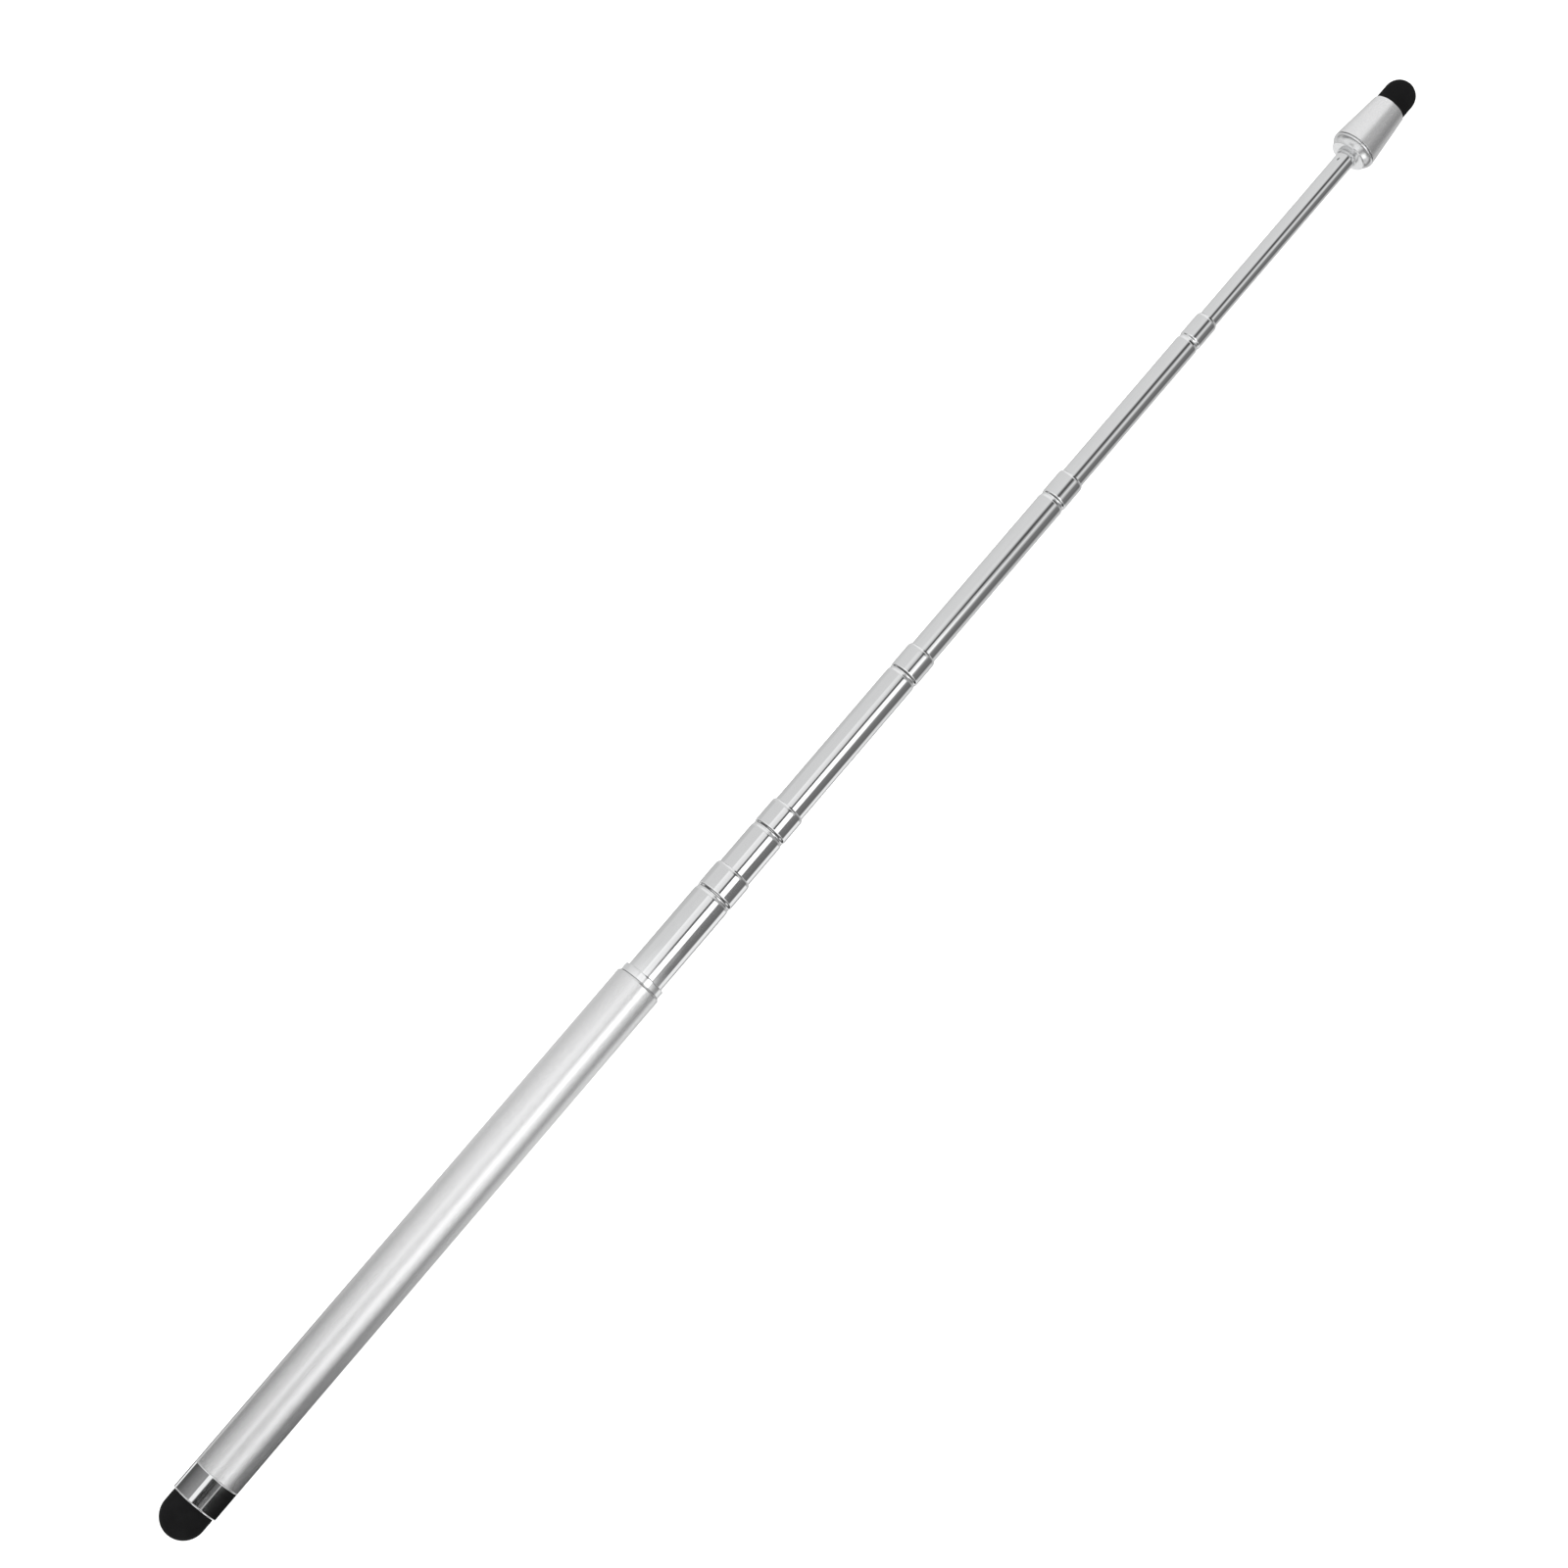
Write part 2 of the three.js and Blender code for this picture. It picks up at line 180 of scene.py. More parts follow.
class SectionSizes(bpy.types.PropertyGroup):
    """Sizes of the drawn tubes and of what sits on their feet"""

    first_diameter: length("First tube", "Diameter of the first and widest tube", 8.1)
    diameter_step: length("Step", "How much narrower each next tube is", 0.8)
    wall: length("Wall", "Thickness of a tube's wall", 0.2)
    guide_gap: length("Guide gap", "Gap between a mouth and the tube that slides in it", 0.02)
    groove_setback: length("Groove setback", "From the mouth back to the middle of the groove", 6.4)
    groove_width: length("Groove width", "Width of the rolled groove", 1.6)
    mouth_length: length("Mouth length", "Length over which the mouth rounds in", 0.9)
    mouth_drop: length("Mouth drop", "How far the mouth rounds in", 0.33)
    guide_length: length("Guide length", "Length of the mouth's inner guide", 0.5)
    flare_length: length("Flare length", "Length of the flared foot", 0.8)
    flare_taper: length("Flare taper", "Length of the slope behind the flare", 0.2)
    ring_round: length("Ring edge", "Rounding of a stop ring's edges", 0.05)
    spring_slit: bpy.props.FloatProperty(
        name="Spring slit",
        description="Angle of the slit in each friction spring",
        default=math.radians(15),
        min=0.0,
        max=math.radians(90),
        subtype="ANGLE",
        unit="ROTATION",
    )
    spring_bore_gap: length("Spring gap", "Gap between a tube and the spring on it", 0.04)
    punch_setback: length("Punch setback", "From the head back to the punch mark", 2.6)
    punch_length: length("Punch length", "Length of the punch mark", 0.9)
    punch_width: length("Punch width", "Width of the punch mark", 0.34)
    punch_depth: length("Punch depth", "Depth of the punch mark", 0.17)
    punch_angle: bpy.props.FloatProperty(
        name="Punch angle",
        description="How far round from the top the punch mark is",
        default=math.radians(26),
        subtype="ANGLE",
        unit="ROTATION",
    )


class HeadSizes(bpy.types.PropertyGroup):
    """Sizes of the head that the frame doesn't give"""

    bead_width: length("Bead width", "How far the bead stands out round the tube", 0.32)
    bead_length: length("Bead length", "Length of the bead round the tube", 0.6)
    bead_recess: length("Bead recess", "How deep the bead is opened out where the tube enters", 0.2)
    bead_opening: length("Bead opening", "How much wider that recess is than the tube", 0.14)
    bead_round: length("Bead edge", "Rounding of the bead's rear edge", 0.1)
    disc_length: length("Disc length", "Length of the straight side behind the chamfer", 0.35)
    disc_round: length("Disc edge", "Rounding of the rear disc's edge", 0.15)
    chamfer_length: length("Chamfer length", "Length of the crowned chamfer", 1.45)
    chamfer_width: length("Chamfer width", "How far the chamfer opens out", 0.87)
    rim_length: length("Rim length", "Length of the rim in front of the chamfer", 0.15)
    neck_length: length("Neck length", "Width of the groove behind the cone", 0.25)
    neck_depth: length("Neck depth", "Depth of the groove behind the cone", 0.6)
    spigot_chamfer: length("Spigot chamfer", "Chamfer on the end of the spigot", 0.2)
    tube_seat: length("Tube seat", "How deep the last tube sits in the head", 1.5)
    cone_rim_wall: length("Cone rim", "Wall of the cone round the small tip", 0.2)
    cone_rim_round: length("Cone edge", "Rounding of the cone's edges", 0.12)
    cone_bore_step: length("Cone bore step", "How much wider the cone is bored behind", 0.2)
    tip_wall: length("Small tip wall", "Thickness of the small tip's rubber", 0.8)
    tip_skirt: length("Small tip skirt", "Length of the rubber held in the cone", 5.0)
    flange_length: length("Plug flange", "Length of the small plug's flange", 1.0)
    stud_diameter: length("Stud diameter", "Diameter of the small plug's stud", 3.0)
    stud_length: length("Stud length", "Length of the small plug's stud", 3.8)
    hole_depth: length("Stud hole", "Depth of the hole for the stud", 4.0)


class FitSizes(bpy.types.PropertyGroup):
    """Clearances, measured on the radius"""

    press: length("Press", "Clearance of a pressed fit", 0.01)
    stem: length("Stem", "Clearance between a plug's stem and the rubber", 0.1)


class FinishColours(bpy.types.PropertyGroup):
    """Colours and gloss of the finishes"""

    silver: colour("Satin silver", "Colour of the barrel and the cone", 0.83, 0.83, 0.835)
    silver_roughness: share("Satin roughness", "Roughness of the satin silver", 0.26)
    chrome: colour("Chrome", "Colour of the chromed pieces", 0.86, 0.865, 0.87)
    chrome_roughness: share("Chrome roughness", "Roughness of the chrome", 0.07)
    turned_roughness: share("Turned chrome roughness", "Roughness of the head's chromed rear piece", 0.26)
    rubber: colour("Rubber", "Colour of the rubber tips", 0.0052, 0.0052, 0.0054)
    rubber_roughness: share("Rubber roughness", "Roughness of the rubber", 0.78)
    brass: colour("Brass", "Colour of the turned brass inside", 0.73, 0.54, 0.24)
    bronze: colour("Bronze", "Colour of the spring bronze", 0.62, 0.36, 0.17)
    floor: colour("Floor", "Colour of the floor", 0.93, 0.93, 0.93)


# Outlines


def quarter(start, end, leaves, steps):
    """A quarter of an ellipse between two (place, radius) points, leaving along the pen or across it."""
    points = []
    for step in range(steps + 1):
        angle = math.pi / 2 * step / steps
        early, late = math.sin(angle), 1 - math.cos(angle)
        along, across = (early, late) if leaves == "along" else (late, early)
        points.append((
            start[0] + (end[0] - start[0]) * along,
            start[1] + (end[1] - start[1]) * across,
        ))
    return points


def rolled_dip(centre, width, radius, depth):
    """A rolled groove as a smooth dip in a wall, in order of rising place."""
    points = []
    for step in range(GROOVE_STEPS + 1):
        at = step / GROOVE_STEPS
        dip = (1 - math.cos(2 * math.pi * at)) / 2
        points.append((centre + (at - 0.5) * width, radius - depth * dip))
    return points


def crowned(start, end, crown):
    """A chamfer that swells a little between its two ends."""
    points = []
    for step in range(CHAMFER_STEPS + 1):
        at = step / CHAMFER_STEPS
        rise = at + crown * at * (1 - at)
        points.append((
            start[0] + (end[0] - start[0]) * at,
            start[1] + (end[1] - start[1]) * rise,
        ))
    return points


def span(node):
    """Where a frame node starts and ends along the pen."""
    low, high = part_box(node)
    return low.x, high.x


def radius_of(node):
    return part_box(node)[1].z - AXIS_HEIGHT


# Modelling


def rings_of(outline):
    """The outline's (place, radius) rings, with holding rings beside the corners of long runs."""
    rings = [outline[0][:2]]
    for corner, following in zip(outline, outline[1:]):
        run = math.dist(corner[:2], following[:2])
        leave = HOLD + (corner[2] if len(corner) > 2 else 0)
        arrive = HOLD + (following[2] if len(following) > 2 else 0)
        if run > max(LONG_RUN, leave + arrive):
            for at in (leave / run, 1 - arrive / run):
                rings.append((
                    corner[0] + (following[0] - corner[0]) * at,
                    corner[1] + (following[1] - corner[1]) * at,
                ))
        rings.append(following[:2])
    return rings


def select_edges(piece, wanted):
    """Selects the edges whose two ends are both wanted."""
    bpy.ops.mesh.select_mode(type="EDGE")
    bpy.ops.mesh.select_all(action="DESELECT")
    mesh = bmesh.from_edit_mesh(piece.data)
    for edge in mesh.edges:
        edge.select_set(all(wanted(vertex.co) for vertex in edge.verts))
    bmesh.update_edit_mesh(piece.data)


def radius_at(point):
    return math.hypot(point.y, point.z - AXIS_HEIGHT)


def round_ring(piece, place, radius, rounding):
    """Bevels the ring of edges at a place and radius."""

    def on_ring(point):
        return abs(point.x - place) < JOIN_DISTANCE and abs(radius_at(point) - radius) < JOIN_DISTANCE

    select_edges(piece, on_ring)
    bpy.ops.mesh.bevel(offset=rounding, segments=BEVEL_SEGMENTS, profile=0.5, affect="EDGES")


def draw_out(name, rings):
    """A ring of edges at the first (place, radius), drawn out through the others and left in edit mode."""
    bpy.ops.object.select_all(action="DESELECT")
    place, radius = rings[0]
    radius = max(radius, POINT_RADIUS)
    bpy.ops.mesh.primitive_circle_add(
        vertices=ROUND_SIDES,
        radius=radius,
        location=(place, 0, AXIS_HEIGHT),
        rotation=(0, math.pi / 2, 0),
    )
    piece = bpy.context.object
    piece.name = name
    piece.data.name = name
    bpy.ops.object.transform_apply(location=True, rotation=True, scale=True)
    bpy.ops.object.mode_set(mode="EDIT")
    bpy.ops.mesh.select_all(action="SELECT")
    for next_place, next_radius in rings[1:]:
        next_radius = max(next_radius, POINT_RADIUS)
        bpy.ops.mesh.extrude_edges_move(
            TRANSFORM_OT_translate={"value": (next_place - place, 0, 0)}
        )
        ratio = next_radius / radius
        bpy.ops.transform.resize(
            value=(1, ratio, ratio),
            center_override=(next_place, 0, AXIS_HEIGHT),
        )
        place, radius = next_place, next_radius
    return piece


def turned(name, outline):
    """A turned piece from its (place, radius, rounding) corners.

    The outline ends where it starts, or starts and ends on the axis.
    """
    piece = draw_out(name, rings_of(outline))
    bpy.ops.mesh.select_all(action="SELECT")
    bpy.ops.mesh.remove_doubles(threshold=JOIN_DISTANCE)
    bpy.ops.mesh.normals_make_consistent(inside=False)
    for corner in outline:
        if len(corner) > 2:
            round_ring(piece, *corner)
    bpy.ops.object.mode_set(mode="OBJECT")
    smooth(piece)
    return piece


def smooth(piece):
    bpy.ops.object.select_all(action="DESELECT")
    piece.select_set(True)
    bpy.context.view_layer.objects.active = piece
    bpy.ops.object.shade_smooth_by_angle(angle=SMOOTH_ANGLE)


def ring_wall(inner, outer, start, end, rounding):
    """The outline of a plain ring with its outer edges rounded."""
    return [
        (start, inner),
        (start, outer, rounding),
        (end, outer, rounding),
        (end, inner),
        (start, inner),
    ]


def fitted(piece, node, slot, finish=None):
    """The piece stands for a frame node: it moves with its body and takes the slot's finish or its own."""
    piece.data.materials.append(FINISHES[finish or slot]())
    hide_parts(node)
    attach(piece, frame["nodes"][node]["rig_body"])
    return piece


# Finishes


class Wire:
    """A socket of a node tree. Arithmetic on it adds the Math nodes for the expression."""

    def __init__(self, tree, socket=None):
        self.tree = tree
        self.socket = socket

    def node(self, kind, settings=None, sockets=None, output=0):
        """Adds a node, gives it its settings, then its sockets' values or links, and returns its output."""
        made = self.tree.nodes.new(kind)
        for name, value in (settings or {}).items():
            if name == "stops":
                set_stops(made.color_ramp, value)
            else:
                setattr(made, name, value)
        for name, value in (sockets or {}).items():
            if isinstance(value, Wire):
                self.tree.links.new(value.socket, made.inputs[name])
            else:
                made.inputs[name].default_value = value
        return Wire(self.tree, made.outputs[output])

    def math(self, operation, *values):
        return self.node("ShaderNodeMath", {"operation": operation}, dict(enumerate(values)))

    def __add__(self, other):
        return self.math("ADD", self, other)

    def __radd__(self, other):
        return self.math("ADD", other, self)

    def __sub__(self, other):
        return self.math("SUBTRACT", self, other)

    def __rsub__(self, other):
        return self.math("SUBTRACT", other, self)

    def __mul__(self, other):
        return self.math("MULTIPLY", self, other)

    def __rmul__(self, other):
        return self.math("MULTIPLY", other, self)

    def between(self, low, high):
        """0 below low, 1 above high, and a smooth rise between them."""
        return self.node(
            "ShaderNodeMapRange",
            {"interpolation_type": "SMOOTHSTEP"},
            {"Value": self, "From Min": low, "From Max": high},
        )

    def mixed(self, first, second):
        """The colour between two others that this value picks."""
        return self.node(
            "ShaderNodeMix",
            {"data_type": "RGBA"},
            {0: self, 6: first, 7: second},
            output=2,
        )

    def noise(self, stretch, detail=2.0):
        """Noise on the object's own coordinates, with stretch's cells to the metre along, across and up."""
        place = self.node("ShaderNodeTexCoord", output=3)
        scaled = self.node("ShaderNodeVectorMath", {"operation": "MULTIPLY"}, {0: place, 1: stretch})
        return self.node("ShaderNodeTexNoise", {}, {"Vector": scaled, "Scale": 1.0, "Detail": detail})


def set_stops(ramp, stops):
    """Sets a ramp's (position, grey) stops."""
    while len(ramp.elements) > 1:
        ramp.elements.remove(ramp.elements[-1])
    for index, (position, grey) in enumerate(stops):
        stop = ramp.elements[0] if index == 0 else ramp.elements.new(position)
        stop.position = position
        stop.color = (grey, grey, grey, 1)


def shade(colour, factor):
    """A colour made lighter or darker, with its alpha."""
    return tuple(min(1.0, channel * factor) for channel in colour) + (1.0,)


def begun(name):
    """A new material with its tree's wire and its shader's sockets."""
    material = bpy.data.materials.new(name)
    material.use_nodes = True
    shader = material.node_tree.nodes["Principled BSDF"]
    return material, Wire(material.node_tree), shader.inputs


def linked(wire, socket):
    wire.tree.links.new(wire.socket, socket)


def bumped(height, depth):
    """A normal for a height in 0 to 1 that stands for a real depth in metres."""
    return height.node(
        "ShaderNodeBump",
        {},
        {"Strength": 1.0, "Distance": depth, "Height": height},
    )


def once(make):
    """A finish is made the first time that it is asked for."""
    made = {}

    def finish():
        if "material" not in made:
            made["material"] = make()
        return made["material"]

    return finish


def satin_silver():
    """Blasted and plated metal: an even sparkle, a faint cloudiness and a few fine rubs."""
    colours = bpy.context.scene.pointer_finishes
    material, tree, shader = begun("satin_silver")
    grain = tree.noise((9500, 9500, 9500), 2.0)
    speck = tree.noise((4800, 4800, 4800), 1.0)
    cloud = tree.noise((90, 160, 160), 3.0)
    rub = tree.noise((70, 3800, 3800), 1.0).between(0.62, 0.8)
    tone = speck.between(0.3, 0.7) * 0.75 + cloud * 0.25
    linked(tone.mixed(shade(colours.silver, 0.95), shade(colours.silver, 1.05)), shader["Base Color"])
    roughness = colours.silver_roughness
    linked(grain * 0.1 + cloud * 0.03 + rub * 0.02 + (roughness - 0.07), shader["Roughness"])
    linked(bumped(grain * 0.7 + speck * 0.7 + rub * 0.05, 0.006 * MM), shader["Normal"])
    shader["Metallic"].default_value = 1.0
    return material


def polished_chrome():
    """Chromed drawn tube: fine lines along it, a slight waviness and a faint handled haze."""
    return chromed("polished_chrome", bpy.context.scene.pointer_finishes.chrome_roughness)


def turned_chrome():
    """The same chrome over a turned surface, a little softer."""
    return chromed("turned_chrome", bpy.context.scene.pointer_finishes.turned_roughness)


def chromed(name, roughness):
    colours = bpy.context.scene.pointer_finishes
    material, tree, shader = begun(name)
    line = tree.noise((45, 6500, 6500), 2.0)
    wave = tree.noise((160, 420, 420), 1.0)
    haze = tree.noise((300, 700, 700), 3.0)
    pit = tree.noise((2200, 2200, 2200), 1.0).between(0.7, 0.85)
    # Painted shade in the punch mark's dent: where the attribute is set the colour darkens to a dim chrome
    # and the roughness rises
    dent_shade = tree.node("ShaderNodeAttribute", {"attribute_name": PAINTED_DENT_SHADE}, output=2)
    tone = line * 0.5 + haze * 0.5
    clean = tone.mixed(shade(colours.chrome, 0.96), shade(colours.chrome, 1.04))
    linked(dent_shade.mixed(clean, shade(colours.chrome, 0.22)), shader["Base Color"])
    linked(line * 0.05 + haze * 0.05 + pit * 0.06 + dent_shade * 0.2 + (roughness - 0.05), shader["Roughness"])
    linked(bumped(line * 0.12 + wave * 2.4 + pit * 0.2, 0.0035 * MM), shader["Normal"])
    shader["Metallic"].default_value = 1.0
    return material


def black_rubber():
    """Matte moulded rubber: a fine skin, faint dust-grey patches where it has been touched."""
    colours = bpy.context.scene.pointer_finishes
    material, tree, shader = begun("black_rubber")
    skin = tree.noise((4200, 4200, 4200), 3.0)
    patch = tree.noise((260, 260, 260), 2.0).between(0.4, 0.75)
    tone = skin * 0.5 + patch * 0.5
    linked(tone.mixed(shade(colours.rubber, 0.8), shade(colours.rubber, 1.35)), shader["Base Color"])
    linked(skin * 0.16 - patch * 0.06 + (colours.rubber_roughness - 0.04), shader["Roughness"])
    linked(bumped(skin, 0.02 * MM), shader["Normal"])
    shader["Specular IOR Level"].default_value = 0.08
    return material


def turned_brass():
    """Bright brass with the fine rings that a turning tool leaves."""
    colours = bpy.context.scene.pointer_finishes
    material, tree, shader = begun("turned_brass")
    ring = tree.noise((16000, 60, 60), 2.0)
    stain = tree.noise((350, 350, 350), 2.0)
    tone = ring * 0.4 + stain * 0.6
    linked(tone.mixed(shade(colours.brass, 0.78), shade(colours.brass, 1.12)), shader["Base Color"])
    linked(ring * 0.12 + stain * 0.14 + 0.14, shader["Roughness"])
    linked(bumped(ring, 0.004 * MM), shader["Normal"])
    shader["Metallic"].default_value = 1.0
    return material


def spring_bronze():
    """Rolled bronze strip: grain along the strip and darker rubbed patches."""
    colours = bpy.context.scene.pointer_finishes
    material, tree, shader = begun("spring_bronze")
    grain = tree.noise((200, 9000, 9000), 2.0)
    patch = tree.noise((600, 600, 600), 2.0)
    tone = grain * 0.4 + patch * 0.6
    linked(tone.mixed(shade(colours.bronze, 0.75), shade(colours.bronze, 1.15)), shader["Base Color"])
    linked(grain * 0.14 + patch * 0.12 + 0.2, shader["Roughness"])
    linked(bumped(grain, 0.003 * MM), shader["Normal"])
    shader["Metallic"].default_value = 1.0
    return material


FINISHES = {
    "satin_barrel": once(satin_silver),
    "polished_chrome": once(polished_chrome),
    "turned_chrome": once(turned_chrome),
    "black_rubber": once(black_rubber),
    "turned_brass": once(turned_brass),
    "spring_bronze": once(spring_bronze),
}


# The handle


class MakeBarrel(bpy.types.Operator):
    """Turns the satin handle tube with the collar's seat in its mouth"""

    bl_idname = "pointer.make_barrel"
    bl_label = "Barrel"

    def execute(self, context):
        sizes = context.scene.pointer_handle
        start, end = span("barrel")
        radius = radius_of("barrel")
        bore = radius - sizes.barrel_wall
        seat = radius - sizes.barrel_seat_wall
        piece = turned("handle_barrel", [
            (start, bore),
            (start, radius, sizes.barrel_rear_round),
            (end, radius, sizes.barrel_mouth_round),
            (end, seat),
            (end - sizes.barrel_seat_depth, seat),
            (end - sizes.barrel_seat_depth, bore),
            (start, bore),
        ])
        fitted(piece, "barrel", "satin_barrel")
        return {"FINISHED"}


class MakeCollar(bpy.types.Operator):
    """Turns the chrome bush in the barrel's mouth"""

    bl_idname = "pointer.make_collar"
    bl_label = "Mouth collar"

    def execute(self, context):
        sizes = context.scene.pointer_handle
        sections = context.scene.pointer_sections
        start, end = span("mouth_collar")
        radius = radius_of("mouth_collar")
        bore = sections.first_diameter / 2 + sections.guide_gap
        mouth = span("barrel")[1]
        relief = radius - sizes.collar_relief
        piece = turned("handle_collar", [
            (start, bore),
            (start, radius),
            (mouth - sizes.relief_length, radius),
            (mouth, relief),
            (mouth + sizes.relief_length / 2, relief),
            (mouth + sizes.relief_length, radius),
            (end, radius, sizes.collar_round),
            (end, bore, sizes.collar_round / 2),
            (start, bore),
        ])
        fitted(piece, "mouth_collar", "polished_chrome")
        return {"FINISHED"}


class MakeFerrule(bpy.types.Operator):
    """Turns the chrome sleeve between the barrel and the large tip"""

    bl_idname = "pointer.make_ferrule"
    bl_label = "Ferrule"

    def execute(self, context):
        sizes = context.scene.pointer_handle
        start, end = span("ferrule")
        radius = radius_of("ferrule")
        bore = radius - sizes.ferrule_wall
        piece = turned("handle_ferrule", [
            (start, bore),
            (start, radius, sizes.ferrule_front_round),
            (end, radius, sizes.ferrule_rear_round),
            (end, bore),
            (start, bore),
        ])
        fitted(piece, "ferrule", "polished_chrome")
        return {"FINISHED"}


def dome_outline(nose, mouth, end, radius, wall, waist):
    """A hollow dome from its nose, with a slight waist where it leaves its sleeve, to its open end."""
    way = 1 if end > nose else -1
    inside = radius - wall
    waist_length = waist * WAIST_STRETCH
    outside = quarter((nose, 0), (nose + way * radius, radius), "across", DOME_STEPS)
    within = quarter((nose + way * radius, inside), (nose + way * wall, 0), "along", DOME_STEPS)
    return [
        *outside,
        (mouth - way * waist_length, radius),
        (mouth - way * waist_length / 2, radius - waist * WAIST_SHARE),
        (mouth, radius - waist),
        (end, radius - waist),
        (end, inside),
        *within,
    ]


class MakeLargeTip(bpy.types.Operator):
    """Moulds the large rubber dome"""

    bl_idname = "pointer.make_large_tip"
    bl_label = "Large tip"

    def execute(self, context):
        sizes = context.scene.pointer_handle
        nose, end = span("large_tip")
        mouth = span("ferrule")[0]
        radius = radius_of("large_tip")
        outline = dome_outline(nose, mouth, end, radius, sizes.tip_wall, sizes.tip_waist)
        fitted(turned("large_dome", outline), "large_tip", "black_rubber")
        return {"FINISHED"}


class MakeLargeTipCore(bpy.types.Operator):
    """Turns the plug that joins the large tip, the ferrule and the barrel"""

    bl_idname = "pointer.make_large_tip_core"
    bl_label = "Large tip plug"

    def execute(self, context):
        sizes = context.scene.pointer_handle
        fits = context.scene.pointer_fits
        start, end = span("large_tip_core")
        seat = span("barrel")[0]
        radius = radius_of("large_tip_core")
        stem = radius_of("large_tip") - sizes.tip_wall - fits.stem
        spigot = radius_of("barrel") - sizes.barrel_wall - fits.press
        piece = turned("large_dome_plug", [
            (start, 0),
            (start, stem, fits.stem),
            (start + sizes.stem_length, stem),
            (start + sizes.stem_length, radius),
            (seat, radius),
            (seat, spigot),
            (end, spigot, fits.stem),
            (end, 0),
        ])
        fitted(piece, "large_tip_core", "turned_brass")
        return {"FINISHED"}


# The drawn tubes


def tube_radius(index):
    sizes = bpy.context.scene.pointer_sections
    return (sizes.first_diameter - index * sizes.diameter_step) / 2


def foot_outside(node, radius):
    sizes = bpy.context.scene.pointer_sections
    start = span(node)[0]
    return [
        (start, radius_of(node)),
        (start + sizes.flare_length - sizes.flare_taper, radius_of(node)),
        (start + sizes.flare_length, radius),
    ]


def foot_inside(node, radius):
    sizes = bpy.context.scene.pointer_sections
    start = span(node)[0]
    return [
        (start + sizes.flare_length, radius - sizes.wall),
        (start + sizes.flare_length - sizes.flare_taper, radius_of(node) - sizes.wall),
        (start, radius_of(node) - sizes.wall),
        (start, radius_of(node)),
    ]


class MakeGuidingTubes(bpy.types.Operator):
    """Draws the tubes that guide a next one, each with a flared foot, a rolled groove and a rounded mouth"""

    bl_idname = "pointer.make_guiding_tubes"
    bl_label = "Guiding tubes"

    def execute(self, context):
        sizes = context.scene.pointer_sections
        for index in range(TUBE_COUNT - 1):
            node = f"section_tube_{index + 1}"
            end = span(node)[1]
            radius = tube_radius(index)
            bore = radius - sizes.wall
            guide = tube_radius(index + 1) + sizes.guide_gap
            groove = end - sizes.groove_setback
            depth = bore - guide
            piece = turned(f"drawn_tube_{index + 1}", [
                *foot_outside(node, radius),
                *rolled_dip(groove, sizes.groove_width, radius, depth),
                *quarter(
                    (end - sizes.mouth_length, radius),
                    (end, radius - sizes.mouth_drop),
                    "along",
                    MOUTH_STEPS,
                ),
                (end, guide),
                (end - sizes.guide_length, guide),
                (end - sizes.mouth_length, bore),
                *reversed(rolled_dip(groove, sizes.groove_width, bore, depth)),
                *foot_inside(node, radius),
            ])
            fitted(piece, node, "polished_chrome")
        return {"FINISHED"}


